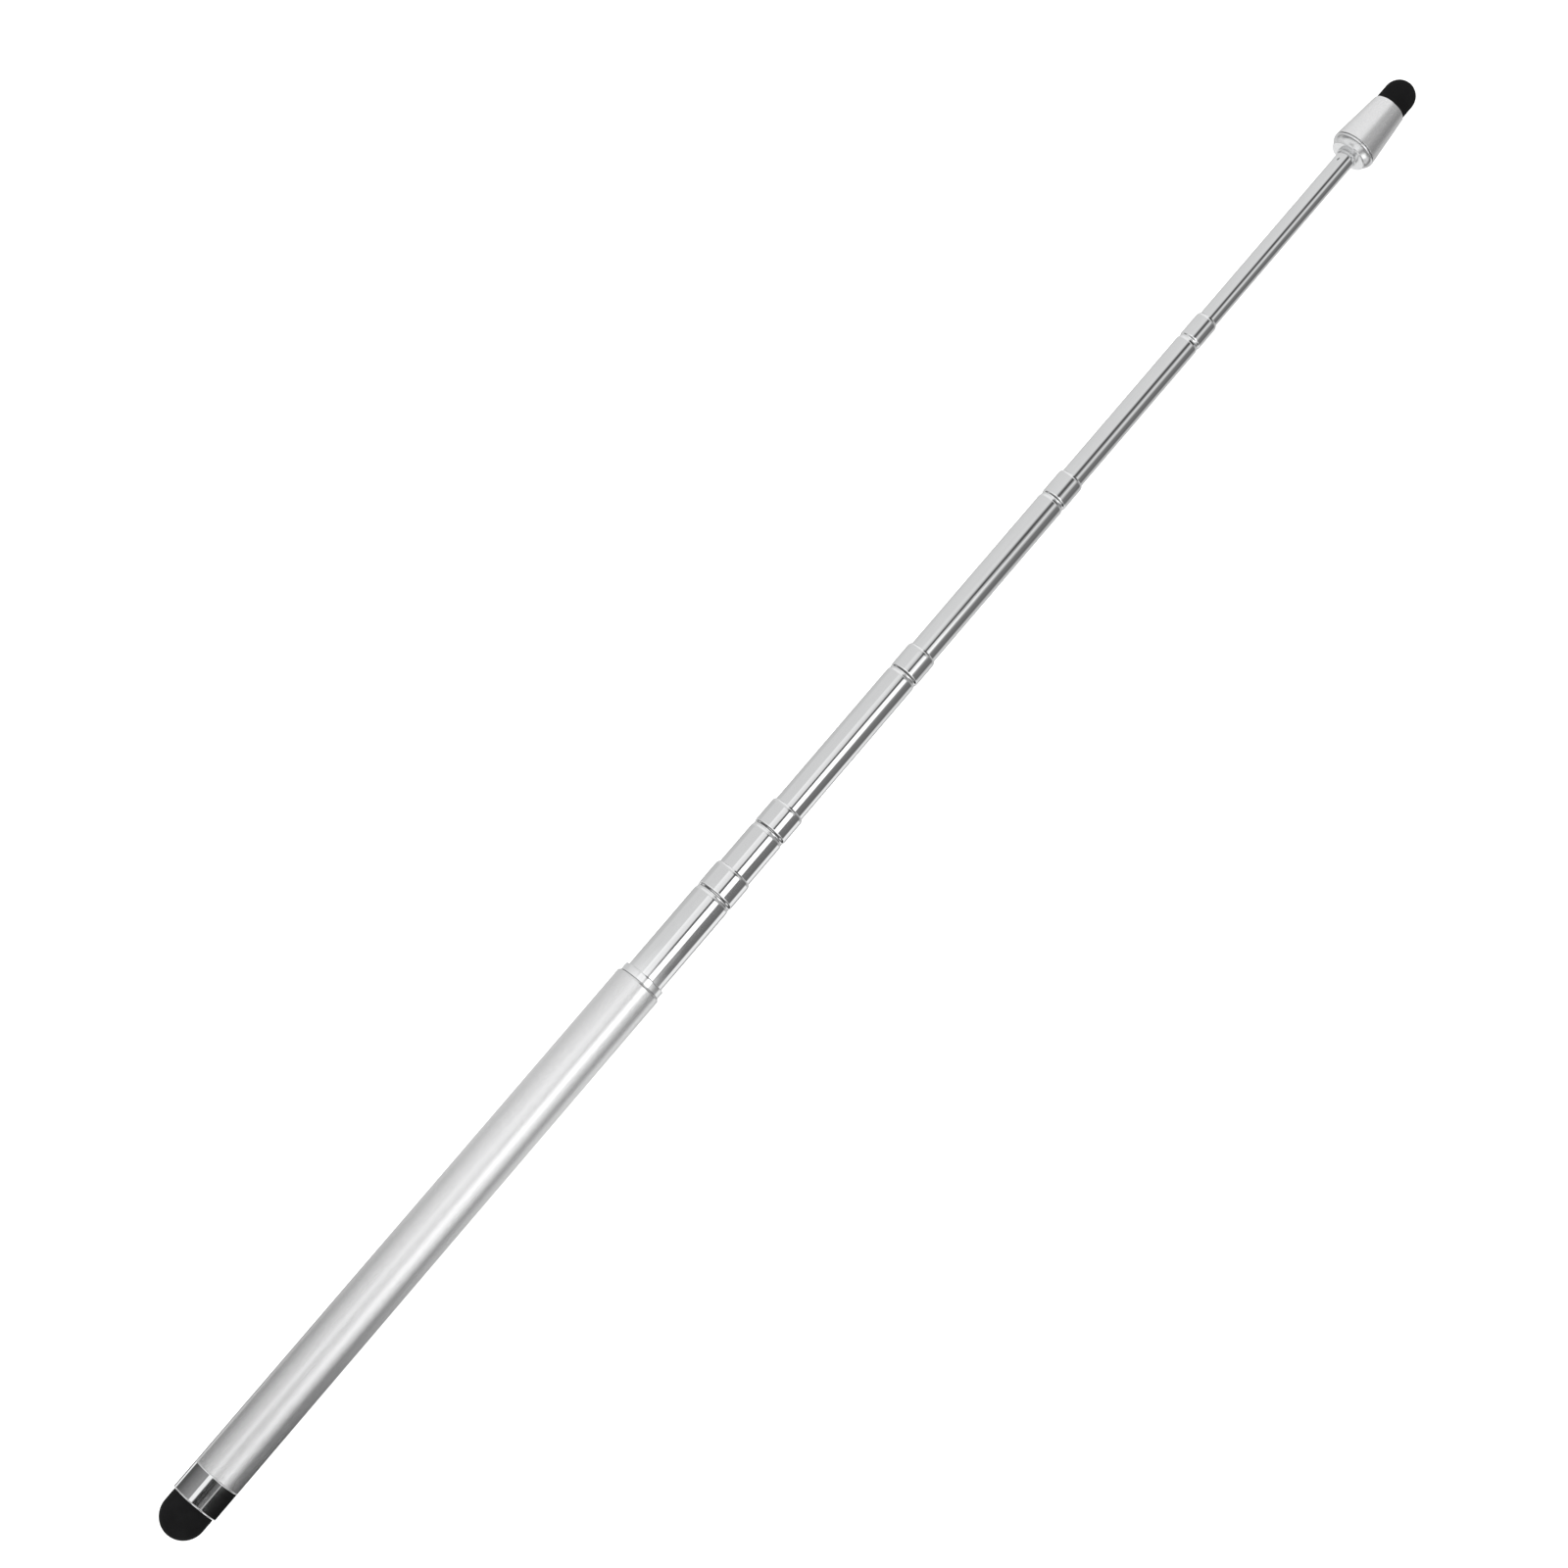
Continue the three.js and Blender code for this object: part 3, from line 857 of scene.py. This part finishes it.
class MakeLastTube(bpy.types.Operator):
    """Draws the thinnest tube, which runs plain into the head and is punched onto its spigot"""

    bl_idname = "pointer.make_last_tube"
    bl_label = "Last tube"

    def execute(self, context):
        sizes = context.scene.pointer_sections
        node = f"section_tube_{TUBE_COUNT}"
        end = span(node)[1]
        radius = tube_radius(TUBE_COUNT - 1)
        piece = turned(f"drawn_tube_{TUBE_COUNT}", [
            *foot_outside(node, radius),
            (end, radius),
            (end, radius - sizes.wall),
            *foot_inside(node, radius),
        ])
        self.punch(piece, radius, end - context.scene.pointer_head.tube_seat)
        fitted(piece, node, "polished_chrome")
        return {"FINISHED"}

    def punch(self, piece, radius, head):
        """Cuts the wall fine round the mark and presses it in, with a low ridge round the dent."""
        sizes = bpy.context.scene.pointer_sections
        middle = head - sizes.punch_setback
        reach = sizes.punch_length
        bpy.ops.object.mode_set(mode="EDIT")
        for place in (middle - reach, middle - reach / 2, middle, middle + reach / 2, middle + reach):
            bpy.ops.mesh.select_all(action="SELECT")
            bpy.ops.mesh.bisect(plane_co=(place, 0, AXIS_HEIGHT), plane_no=(1, 0, 0))
        bpy.ops.mesh.select_mode(type="FACE")
        bpy.ops.mesh.select_all(action="DESELECT")
        mesh = bmesh.from_edit_mesh(piece.data)
        for face in mesh.faces:
            along, round_by = self.offset(face.calc_center_median(), radius, middle)
            outside = radius_at(face.calc_center_median()) > radius - sizes.wall / 2
            face.select_set(outside and abs(along) < reach and abs(round_by) < sizes.punch_width * 1.5)
        bmesh.update_edit_mesh(piece.data)
        bpy.ops.mesh.subdivide(number_cuts=PUNCH_CUTS)
        bpy.ops.mesh.select_all(action="DESELECT")
        bpy.ops.object.mode_set(mode="OBJECT")
        # Painted shade: each point of the dent is marked darker the deeper it is pressed in, and the chrome
        # reads the mark
        dent_shade = piece.data.attributes.new(PAINTED_DENT_SHADE, "FLOAT", "POINT")
        for vertex in piece.data.vertices:
            if radius_at(vertex.co) < radius - sizes.wall / 2:
                continue
            along, round_by = self.offset(vertex.co, radius, middle)
            out = math.hypot(2 * along / sizes.punch_length, 2 * round_by / sizes.punch_width)
            if out < PUNCH_REACH:
                depth_share = max(0.0, 1 - out * out)
                dent = -sizes.punch_depth * depth_share
                dent_shade.data[vertex.index].value = min(1.0, 2 * depth_share)
                ridge = RIDGE_SHARE * sizes.punch_depth * math.exp(-((out - RIDGE_PLACE) / RIDGE_SPREAD) ** 2)
                factor = (radius_at(vertex.co) + dent + ridge) / radius_at(vertex.co)
                vertex.co.y *= factor
                vertex.co.z = AXIS_HEIGHT + (vertex.co.z - AXIS_HEIGHT) * factor
        smooth(piece)

    def offset(self, point, radius, middle):
        """How far a point is from the mark's middle, along the tube and round it."""
        angle = math.atan2(point.y, point.z - AXIS_HEIGHT)
        return point.x - middle, (angle - bpy.context.scene.pointer_sections.punch_angle) * radius


class MakeStopRings(bpy.types.Operator):
    """Turns the ring on each tube's foot"""

    bl_idname = "pointer.make_stop_rings"
    bl_label = "Stop rings"

    def execute(self, context):
        sizes = context.scene.pointer_sections
        for index in range(TUBE_COUNT):
            node = f"stop_ring_{index + 1}"
            start, end = span(node)
            bore = tube_radius(index) + context.scene.pointer_fits.press
            outline = ring_wall(bore, radius_of(node), start, end, sizes.ring_round)
            fitted(turned(f"foot_ring_{index + 1}", outline), node, "turned_brass")
        return {"FINISHED"}


class MakeFrictionSprings(bpy.types.Operator):
    """Rolls the split sleeve that drags in the tube around it, once for each tube"""

    bl_idname = "pointer.make_friction_springs"
    bl_label = "Friction springs"

    def execute(self, context):
        for index in range(TUBE_COUNT):
            node = f"friction_spring_{index + 1}"
            piece = self.split_sleeve(f"drag_spring_{index + 1}", node, tube_radius(index))
            fitted(piece, node, "spring_bronze")
        return {"FINISHED"}

    def split_sleeve(self, name, node, tube):
        """A sleeve of sheet drawn out from a ring, slit along its underside and thickened inwards."""
        sizes = bpy.context.scene.pointer_sections
        start, end = span(node)
        radius = radius_of(node)
        bore = tube + sizes.spring_bore_gap
        swell = (radius - bore) * SPRING_SWELL
        middle = (start + end) / 2
        piece = draw_out(name, [
            (start, radius - swell),
            (start + (middle - start) / 2, radius - swell * SWELL_LOSS),
            (middle, radius),
            (end - (end - middle) / 2, radius - swell * SWELL_LOSS),
            (end, radius - swell),
        ])
        bpy.ops.mesh.select_mode(type="FACE")
        bpy.ops.mesh.select_all(action="DESELECT")
        mesh = bmesh.from_edit_mesh(piece.data)
        for face in mesh.faces:
            centre = face.calc_center_median()
            angle = math.atan2(abs(centre.y), AXIS_HEIGHT - centre.z)
            face.select_set(angle < sizes.spring_slit / 2)
        bmesh.update_edit_mesh(piece.data)
        bpy.ops.mesh.delete(type="FACE")
        bpy.ops.mesh.select_all(action="SELECT")
        bpy.ops.mesh.normals_make_consistent(inside=False)
        bpy.ops.object.mode_set(mode="OBJECT")
        wall = piece.modifiers.new("wall", "SOLIDIFY")
        wall.thickness = radius - swell - bore
        wall.offset = -1.0
        bpy.ops.object.modifier_apply(modifier=wall.name)
        edge = piece.modifiers.new("edge", "BEVEL")
        edge.width = SPRING_EDGE
        edge.segments = 2
        bpy.ops.object.modifier_apply(modifier=edge.name)
        smooth(piece)
        return piece


# The head


class MakeHeadBoss(bpy.types.Operator):
    """Turns the head's rear piece with its bead, disc, crowned chamfer, neck and shank"""

    bl_idname = "pointer.make_head_boss"
    bl_label = "Head boss"

    def execute(self, context):
        sizes = context.scene.pointer_head
        press = context.scene.pointer_fits.press
        sections = context.scene.pointer_sections
        start = span("head_boss")[0]
        shank_end = span("small_tip_core")[0] + sizes.stud_length
        cone_start = span("head_cone")[0]
        face = cone_start - sizes.neck_length - sizes.rim_length - sizes.chamfer_length - sizes.disc_length
        rim_end = cone_start - sizes.neck_length
        rim_start = rim_end - sizes.rim_length
        disc_end = face + sizes.disc_length
        rim = radius_of("head_boss")
        disc = rim - sizes.chamfer_width
        seat = tube_radius(TUBE_COUNT - 1) + press
        spigot = tube_radius(TUBE_COUNT - 1) - sections.wall - press
        shank = radius_of("small_tip") + SMALL_TIP_GAP + sizes.cone_bore_step - press
        hole = sizes.stud_diameter / 2 + press
        piece = turned("head_rear", [
            (start, 0),
            (start, spigot - sizes.spigot_chamfer),
            (start + sizes.spigot_chamfer, spigot),
            (face + sizes.tube_seat, spigot),
            (face + sizes.tube_seat, seat),
            (face - sizes.bead_length + sizes.bead_recess, seat),
            (face - sizes.bead_length, seat + sizes.bead_opening),
            (face - sizes.bead_length, seat + sizes.bead_width, sizes.bead_round),
            (face, seat + sizes.bead_width),
            (face, disc, sizes.disc_round),
            (disc_end - LINE_REACH, disc),
            (disc_end, disc - LINE_DEPTH),
            *crowned((disc_end + LINE_REACH, disc), (rim_start, rim), CHAMFER_CROWN),
            (rim_end, rim),
            (rim_end, rim - sizes.neck_depth),
            (cone_start, rim - sizes.neck_depth),
            (cone_start, shank),
            (shank_end, shank),
            (shank_end, hole),
            (shank_end - sizes.hole_depth, hole),
            (shank_end - sizes.hole_depth, 0),
        ])
        fitted(piece, "head_boss", "polished_chrome", "turned_chrome")
        return {"FINISHED"}


class MakeCone(bpy.types.Operator):
    """Turns the satin cone that grips the small tip"""

    bl_idname = "pointer.make_cone"
    bl_label = "Cone"

    def execute(self, context):
        sizes = context.scene.pointer_head
        start, end = span("head_cone")
        bore = radius_of("small_tip") + SMALL_TIP_GAP
        wide_bore = bore + sizes.cone_bore_step
        step = end - sizes.tip_skirt - sizes.flange_length
        piece = turned("head_sleeve", [
            (start, wide_bore),
            (start, radius_of("head_cone"), sizes.cone_rim_round),
            (end, bore + sizes.cone_rim_wall, sizes.cone_rim_round),
            (end, bore),
            (step, bore),
            (step, wide_bore),
            (start, wide_bore),
        ])
        fitted(piece, "head_cone", "satin_barrel")
        return {"FINISHED"}


class MakeSmallTip(bpy.types.Operator):
    """Moulds the small rubber dome"""

    bl_idname = "pointer.make_small_tip"
    bl_label = "Small tip"

    def execute(self, context):
        sizes = context.scene.pointer_head
        end, nose = span("small_tip")
        mouth = span("head_cone")[1]
        radius = radius_of("small_tip")
        outline = dome_outline(nose, mouth, end, radius, sizes.tip_wall, SMALL_TIP_WAIST)
        fitted(turned("small_dome", outline), "small_tip", "black_rubber")
        return {"FINISHED"}


class MakeSmallTipCore(bpy.types.Operator):
    """Turns the plug inside the small tip, with its stud"""

    bl_idname = "pointer.make_small_tip_core"
    bl_label = "Small tip plug"

    def execute(self, context):
        sizes = context.scene.pointer_head
        fits = context.scene.pointer_fits
        start, end = span("small_tip_core")
        flange = start + sizes.stud_length
        skirt = flange + sizes.flange_length
        stud = sizes.stud_diameter / 2
        stem = radius_of("small_tip") - sizes.tip_wall - fits.stem
        piece = turned("small_dome_plug", [
            (start, 0),
            (start, stud, fits.stem),
            (flange, stud),
            (flange, radius_of("small_tip_core")),
            (skirt, radius_of("small_tip_core")),
            (skirt, stem),
            (end, stem, fits.stem),
            (end, 0),
        ])
        fitted(piece, "small_tip_core", "turned_brass")
        return {"FINISHED"}


# The studio


FLOOR_RADIUS = 3.0
FLOOR_SIDES = 64
LENS = 72.0
SENSOR = 36.0
CAMERA_PLACE = (-0.12486, -0.09391, 0.60338)
CAMERA_TURNS = (math.radians(14.3116), math.radians(0.0324), math.radians(-50.2444))

# Each soft light's name, place, size and power, and whether it casts shadows
LIGHTS = (
    ("key_light", (-0.25, 0.35, 1.1), 1.2, 3.0, True),
    ("fill_light", (0.0, 0.0, 2.0), 2.5, 60.0, False),
)

# The background behind the floor
BACKDROP = (0.9, 0.9, 0.9, 1)

# A ramp stops at white, so it holds the brightness divided by this
BRIGHTEST = 4.0

# Brightness round the pen, by the angle from straight up towards its near side.
# Each set is the layout of soft boxes that the metal mirrors at one lean along the pen.
END_BANDS = (
    (-180, 0.5), (-125, 0.5), (-120, 0.1), (-105, 0.1), (-95, 0.9), (-50, 0.9), (-40, 0.2), (-10, 0.2),
    (0, 1.0), (40, 1.0), (50, 0.25), (85, 0.25), (95, 0.85), (120, 0.85), (130, 0.1), (180, 0.5),
)
BEHIND_BANDS = (
    (-180, 0.9), (-145, 0.9), (-135, 0.15), (-110, 0.15), (-100, 0.85), (40, 0.9), (45, 0.3), (65, 0.3),
    (75, 1.2), (90, 1.6), (105, 1.0), (110, 0.15), (135, 0.15), (145, 0.9), (180, 0.9),
)
REAR_BANDS = ((-180, 0.9), (-95, 0.7), (-75, 0.1), (85, 0.1), (100, 0.7), (180, 0.9))
FERRULE_BANDS = (
    (-180, 0.1), (-140, 0.1), (-138, 1.0), (-122, 1.0), (-120, 0.1), (-100, 0.1), (-22, 0.3), (-20, 1.0),
    (-5, 1.0), (0, 0.01), (25, 0.01), (30, 0.1), (45, 0.15), (47, 0.5), (50, 0.5), (52, 0.01), (180, 0.01),
)
BARREL_REAR_BANDS = (
    (-180, 0.4), (-90, 0.4), (-30, 0.95), (20, 1.05), (45, 1.5), (60, 1.2), (90, 0.2),
    (140, 0.15), (180, 0.4),
)
BARREL_FRONT_BANDS = (
    (-180, 0.75), (-90, 0.75), (-40, 1.15), (20, 1.35), (65, 1.5), (95, 0.6), (130, 0.8), (180, 0.75),
)
MIDDLE_BANDS = (
    (-180, 0.5), (-100, 0.6), (-90, 0.7), (-22, 0.7), (-18, 1.0), (-5, 0.9), (12, 0.8), (17, 0.1),
    (24, 0.1), (29, 2.0), (51, 2.0), (58, 0.2), (110, 0.15), (120, 1.0), (145, 0.9), (155, 0.4), (180, 0.5),
)
HEAD_END_BANDS = (
    (-180, 0.5), (-110, 0.7), (0, 0.75), (15, 0.1), (27, 0.1), (45, 0.8), (55, 0.6), (70, 0.2), (110, 0.15),
    (135, 0.6), (180, 0.5),
)
AHEAD_BANDS = (
    (-180, 0.5), (-170, 0.15), (-150, 0.15), (-145, 0.7), (-90, 0.9), (0, 0.95), (20, 0.6), (60, 0.4),
    (100, 0.3), (140, 0.6), (180, 0.5),
)
FAR_BANDS = (
    (-180, 0.5), (-130, 0.5), (-125, 0.1), (-105, 0.1), (-100, 0.9), (-5, 0.9), (5, 0.05), (85, 0.05),
    (95, 0.6), (120, 0.9), (130, 0.3), (180, 0.5),
)

# Where along the pen each next set takes over, as the direction's part along the pen
LEANS = (
    (-0.78, -0.7, BEHIND_BANDS),
    (-0.46, -0.42, REAR_BANDS),
    (-0.24, -0.2, BARREL_REAR_BANDS),
    (-0.14, -0.12, FERRULE_BANDS),
    (-0.07, -0.055, BARREL_REAR_BANDS),
    (-0.045, 0.04, BARREL_FRONT_BANDS),
    (0.105, 0.12, MIDDLE_BANDS),
    (0.17, 0.3, HEAD_END_BANDS),
    (0.46, 0.54, AHEAD_BANDS),
    (0.7, 0.78, FAR_BANDS),
)


class MakeStage(bpy.types.Operator):
    """Lays the floor, sets the light and the studio round it, and places the camera"""

    bl_idname = "pointer.make_stage"
    bl_label = "Stage"

    def execute(self, context):
        self.floor(context)
        self.surroundings(context)
        for light in LIGHTS:
            self.light(context, *light)
        self.camera(context)
        context.scene.view_settings.view_transform = "Standard"
        return {"FINISHED"}

    def floor(self, context):
        bpy.ops.object.select_all(action="DESELECT")
        bpy.ops.mesh.primitive_circle_add(vertices=FLOOR_SIDES, radius=FLOOR_RADIUS, fill_type="NGON")
        floor = context.object
        floor.name = "floor"
        material, tree, shader = begun("pale_floor")
        mottle = tree.noise((40, 40, 40), 3.0)
        pale = context.scene.pointer_finishes.floor
        linked(mottle.mixed(shade(pale, 0.99), shade(pale, 1.01)), shader["Base Color"])
        linked(mottle * 0.1 + 0.75, shader["Roughness"])
        shader["Specular IOR Level"].default_value = 0.1
        floor.data.materials.append(material)
        floor.visible_glossy = False

    def surroundings(self, context):
        """Soft boxes and the gaps between them, for the metal to mirror, and a pale background."""
        world = bpy.data.worlds.new("studio")
        context.scene.world = world
        world.use_nodes = True
        tree = Wire(world.node_tree)
        direction = tree.node("ShaderNodeTexCoord")
        parts = {
            axis: tree.node("ShaderNodeSeparateXYZ", {}, {"Vector": direction}, output=index)
            for index, axis in enumerate("xyz")
        }
        angle = (0.0 - parts["y"]).math("ARCTAN2", 0.0 - parts["y"], parts["z"])
        turn = angle * (0.5 / math.pi) + 0.5
        along = parts["x"]
        mirrored = self.bands(turn, END_BANDS)
        for low, high, stops in LEANS:
            mirrored = along.between(low, high).mixed(mirrored, self.bands(turn, stops))
        seen = tree.node("ShaderNodeLightPath").mixed(mirrored, BACKDROP)
        linked(seen, world.node_tree.nodes["Background"].inputs["Color"])

    def bands(self, turn, stops):
        """The brightness that a set gives for each share of the whole turn round the pen."""
        positions = [((angle + 180) / 360, grey / BRIGHTEST) for angle, grey in stops]
        ramp = turn.node("ShaderNodeValToRGB", {"stops": positions}, {"Fac": turn})
        return ramp * BRIGHTEST

    def light(self, context, name, place, size, power, shadow):
        """A soft square light that faces the pen and that metal doesn't mirror."""
        bpy.ops.object.light_add(type="AREA", location=place)
        light = context.object
        light.name = name
        light.rotation_euler = (-Vector(place)).to_track_quat("-Z", "Y").to_euler()
        light.data.size = size
        light.data.energy = power
        light.data.use_shadow = shadow
        light.visible_glossy = False

    def camera(self, context):
        bpy.ops.object.camera_add(location=CAMERA_PLACE, rotation=CAMERA_TURNS)
        camera = context.object
        camera.name = "camera"
        camera.data.lens = LENS
        camera.data.sensor_width = SENSOR
        camera.data.clip_start = 0.01
        camera.data.clip_end = 20.0
        context.scene.camera = camera


MAKERS = (
    MakeBarrel,
    MakeCollar,
    MakeFerrule,
    MakeLargeTip,
    MakeLargeTipCore,
    MakeGuidingTubes,
    MakeLastTube,
    MakeStopRings,
    MakeFrictionSprings,
    MakeHeadBoss,
    MakeCone,
    MakeSmallTip,
    MakeSmallTipCore,
    MakeStage,
)


class PointerPanel(bpy.types.Panel):
    """Lists the pieces of the pointer, in the order in which they are made"""

    bl_idname = "VIEW3D_PT_pointer"
    bl_label = "Telescoping Stylus Pointer"
    bl_space_type = "VIEW_3D"
    bl_region_type = "UI"
    bl_category = "Pointer"

    def draw(self, context):
        for maker in MAKERS:
            self.layout.operator(maker.bl_idname)


PROPERTY_GROUPS = {
    "pointer_handle": HandleSizes,
    "pointer_sections": SectionSizes,
    "pointer_head": HeadSizes,
    "pointer_fits": FitSizes,
    "pointer_finishes": FinishColours,
}


def register():
    for group in PROPERTY_GROUPS.values():
        bpy.utils.register_class(group)
    for name, group in PROPERTY_GROUPS.items():
        setattr(bpy.types.Scene, name, bpy.props.PointerProperty(type=group))
    for maker in MAKERS:
        bpy.utils.register_class(maker)
    bpy.utils.register_class(PointerPanel)


def unregister():
    bpy.utils.unregister_class(PointerPanel)
    for maker in reversed(MAKERS):
        bpy.utils.unregister_class(maker)
    for name, group in PROPERTY_GROUPS.items():
        delattr(bpy.types.Scene, name)
        bpy.utils.unregister_class(group)


def main():
    register()
    for maker in MAKERS:
        group, name = maker.bl_idname.split(".")
        getattr(getattr(bpy.ops, group), name)()


if __name__ == "__main__":
    main()
